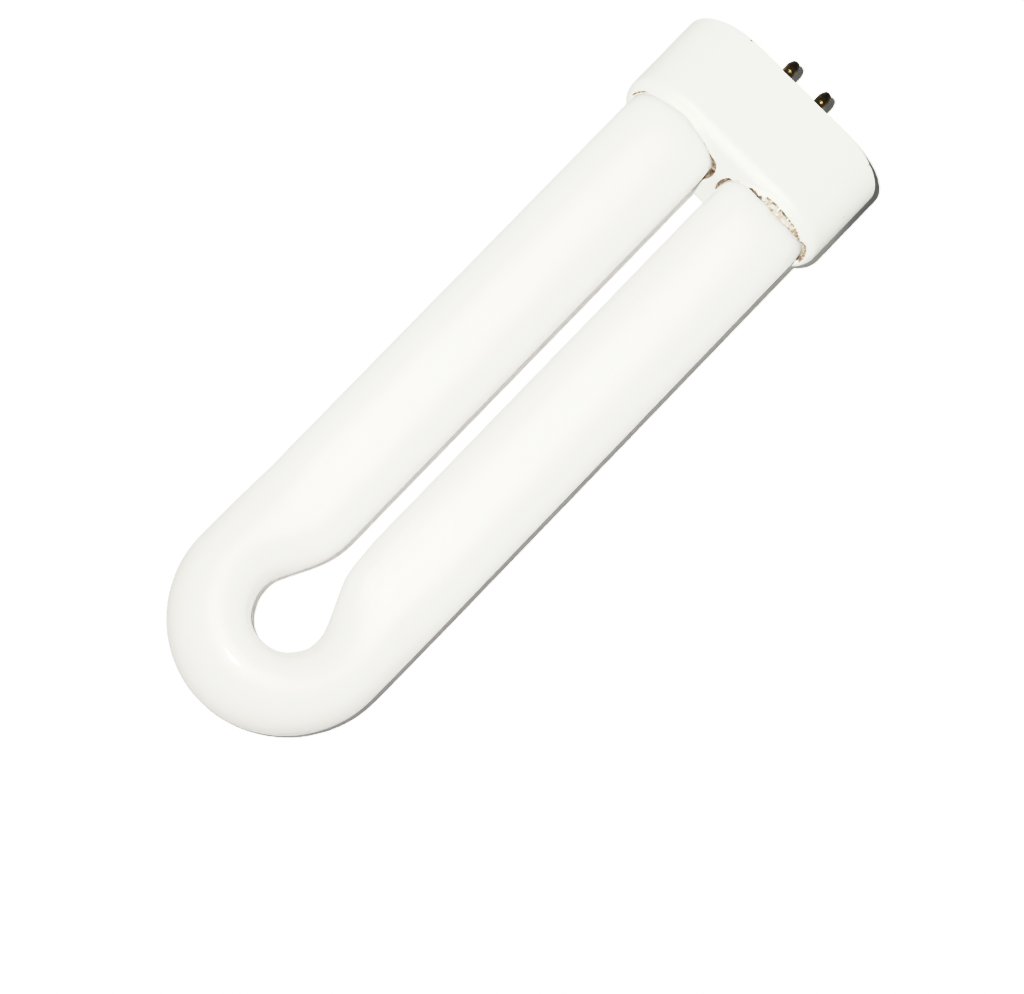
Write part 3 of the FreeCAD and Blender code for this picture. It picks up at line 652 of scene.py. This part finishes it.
# ----------------------------------------------------------------------- lights
world = bpy.data.worlds.new("studio")
scene.world = world
world.use_nodes = True
bg = world.node_tree.nodes["Background"]
bg.inputs["Color"].default_value = (1.0, 1.0, 1.0, 1)
wt = world.node_tree
sky = node(wt, "ShaderNodeTexCoord")
sky_z = node(wt, "ShaderNodeSeparateXYZ")
wt.links.new(sky.outputs["Generated"], sky_z.inputs["Vector"])
level = node(wt, "ShaderNodeMapRange", interpolation_type="SMOOTHSTEP")
wt.links.new(sky_z.outputs["Z"], level.inputs["Value"])
level.inputs["From Min"].default_value, level.inputs["From Max"].default_value = -0.12, 0.12
level.inputs["To Max"].default_value = 0.085
back = node(wt, "ShaderNodeMapRange", interpolation_type="SMOOTHSTEP")
wt.links.new(sky_z.outputs["Y"], back.inputs["Value"])
back.inputs["From Min"].default_value, back.inputs["From Max"].default_value = 0.1, 0.8
back.inputs["To Min"].default_value, back.inputs["To Max"].default_value = 0.42, 0.66
wt.links.new(back.outputs["Result"], level.inputs["To Min"])
# a narrow white band along the horizon, for the eye rather than for the lamp
band = node(wt, "ShaderNodeMapRange", interpolation_type="SMOOTHSTEP")
rise = node(wt, "ShaderNodeMath", operation="ABSOLUTE")
wt.links.new(sky_z.outputs["Z"], rise.inputs[0])
wt.links.new(rise.outputs[0], band.inputs["Value"])
band.inputs["From Min"].default_value, band.inputs["From Max"].default_value = 0.045, 0.10
band.inputs["To Min"].default_value, band.inputs["To Max"].default_value = 1.06, 0.0
most = node(wt, "ShaderNodeMath", operation="MAXIMUM")
wt.links.new(level.outputs["Result"], most.inputs[0])
wt.links.new(band.outputs["Result"], most.inputs[1])
wt.links.new(most.outputs[0], bg.inputs["Strength"])


def area(name, loc, aim, size, watts, colour=(1, 1, 1)):
    d = bpy.data.lights.new(name, "AREA")
    d.shape = "DISK"
    d.size = size
    d.energy = watts
    d.color = colour
    o = bpy.data.objects.new(name, d)
    o.location = loc
    o.rotation_euler = (Vector(aim) - Vector(loc)).to_track_quat("-Z", "Y").to_euler()
    scene.collection.objects.link(o)
    return o


mid = Vector((0.0, -0.075, 0.0))
eye = (target - f * D) * MM
key_at = eye - cx * 0.086 + cy * 0.100
area("key", key_at, mid, 0.03, 44.9)

scene.view_settings.view_transform = "Standard"
scene.view_settings.look = "None"
# a gentle shoulder, as a camera gives: bright tones run together below plain white
view = scene.view_settings
view.use_curve_mapping = True
tone = view.curve_mapping
tone.use_clip = False
tone.extend = "HORIZONTAL"
TONE = [(0.0, 0.0), (0.08, 0.066), (0.2, 0.31), (0.30, 0.58), (0.38, 0.735), (0.47, 0.81), (0.55, 0.852), (0.62, 0.874),
        (0.70, 0.888), (0.80, 0.899), (0.86, 0.910), (0.90, 0.932), (0.93, 0.950), (0.96, 0.958), (0.990, 1.0)]
TONE_BLUE = [(0.0, 0.0), (0.08, 0.064), (0.2, 0.303), (0.30, 0.565), (0.38, 0.712), (0.47, 0.782), (0.55, 0.823), (0.62, 0.845),
             (0.70, 0.860), (0.80, 0.874), (0.86, 0.888), (0.90, 0.911), (0.93, 0.930), (0.96, 0.938), (0.990, 1.0)]
for curve, stops in ((tone.curves[0], TONE), (tone.curves[1], TONE), (tone.curves[2], TONE_BLUE)):
    while len(curve.points) < len(stops):
        curve.points.new(0.5, 0.5)
    for pt, (a, b) in zip(curve.points, stops):
        pt.location = (a, b)
        pt.handle_type = "AUTO_CLAMPED"
tone.update()
